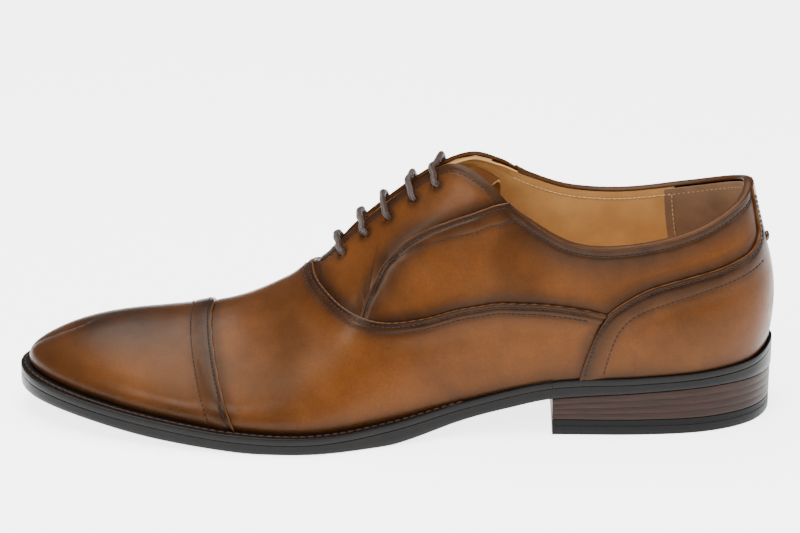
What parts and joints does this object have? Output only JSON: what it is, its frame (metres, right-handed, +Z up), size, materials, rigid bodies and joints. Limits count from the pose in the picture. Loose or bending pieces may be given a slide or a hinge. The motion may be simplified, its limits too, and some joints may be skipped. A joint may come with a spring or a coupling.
{
  "type": "leather oxford shoe",
  "caption": "Cap-toe oxford for the left foot with closed lacing, stitched leather panels, lined inside, on a welted sole with a stacked heel that bends at the ball",
  "frame": {"origin": "centre of the bounding box on the ground under the heel and ball", "axes": "+X to the toe, +Y to the outer side of the left foot, +Z up"},
  "size_m": [0.3079, 0.1038, 0.1075],
  "materials": {
    "upper_leather": "burnished cognac calf, semi gloss",
    "binding_leather": "dark brown bound edge",
    "lining_leather": "natural tan lining leather, matt",
    "grip_leather": "brown lining leather, suede side out",
    "lining_cloth": "woven cotton",
    "stiffener": "impregnated stiffener sheet",
    "insole_board": "leather board",
    "foam": "soft foam pad",
    "shank_steel": "sprung steel",
    "nail_steel": "wire nails",
    "cork": "ground cork filler",
    "sole": "black edge, satin",
    "heel_wood": "dark brown stacked heel with fine level lines",
    "toplift_rubber": "black rubber, matt",
    "lace_cotton": "round waxed cotton",
    "aglet_plastic": "brown film tip",
    "stud_metal": "small satin metal stud",
    "thread": "dark brown sewing thread",
    "welt_thread": "brown waxed thread"
  },
  "bodies": {
    "shoe": {"vamp": "upper_leather", "facing_outer": "upper_leather", "facing_inner": "upper_leather", "quarter_outer": "upper_leather", "quarter_inner": "upper_leather", "heel_foxing": "upper_leather", "topline_binding": "binding_leather", "facing_stay_outer": "lining_cloth", "facing_stay_inner": "lining_cloth", "heel_counter": "stiffener", "vamp_lining_rear": "lining_cloth", "quarter_lining_outer": "lining_leather", "quarter_lining_inner": "lining_leather", "heel_grip": "grip_leather", "insole_rear": "insole_board", "sock_rear": "lining_leather", "heel_pad": "foam", "shank": "shank_steel", "cork_rear": "cork", "welt_waist": "sole", "heel_rand": "sole", "outsole_rear": "sole", "heel_stack": "heel_wood", "top_lift": "toplift_rubber", "heel_nails": "nail_steel", "vamp_stitching": "thread", "quarter_stitching": "thread", "foxing_stitching": "thread", "topline_stitching": "thread", "welt_stitching_waist": "welt_thread", "lace": "lace_cotton", "aglet_outer": "aglet_plastic", "aglet_inner": "aglet_plastic", "heel_stud": "stud_metal"},
    "forepart": {"toe_cap": "upper_leather", "toe_puff": "stiffener", "vamp_lining_toe": "lining_cloth", "insole_toe": "insole_board", "sock_toe": "lining_leather", "cork_toe": "cork", "welt_toe": "sole", "outsole_toe": "sole", "cap_stitching": "thread", "welt_stitching_toe": "welt_thread"},
    "tongue_flap": {"tongue": "upper_leather"}
  },
  "joints": [
    {"name": "toe_flex", "type": "hinge", "parent": "shoe", "child": "forepart", "pos_m": [0.048, 0, 0.0115], "axis": [0, -1, 0], "range_deg": [0, 30], "stiffness_Nm_per_rad": 6, "deforming": ["vamp", "vamp_stitching", "vamp_lining_rear", "vamp_lining_toe"]},
    {"name": "tongue_hinge", "type": "hinge", "parent": "shoe", "child": "tongue_flap", "pos_m": [0.044, -0.006, 0.05], "axis": [0, -1, 0], "range_deg": [0, 10], "stiffness_Nm_per_rad": 0.2, "springref_deg": -5.73}
  ]
}
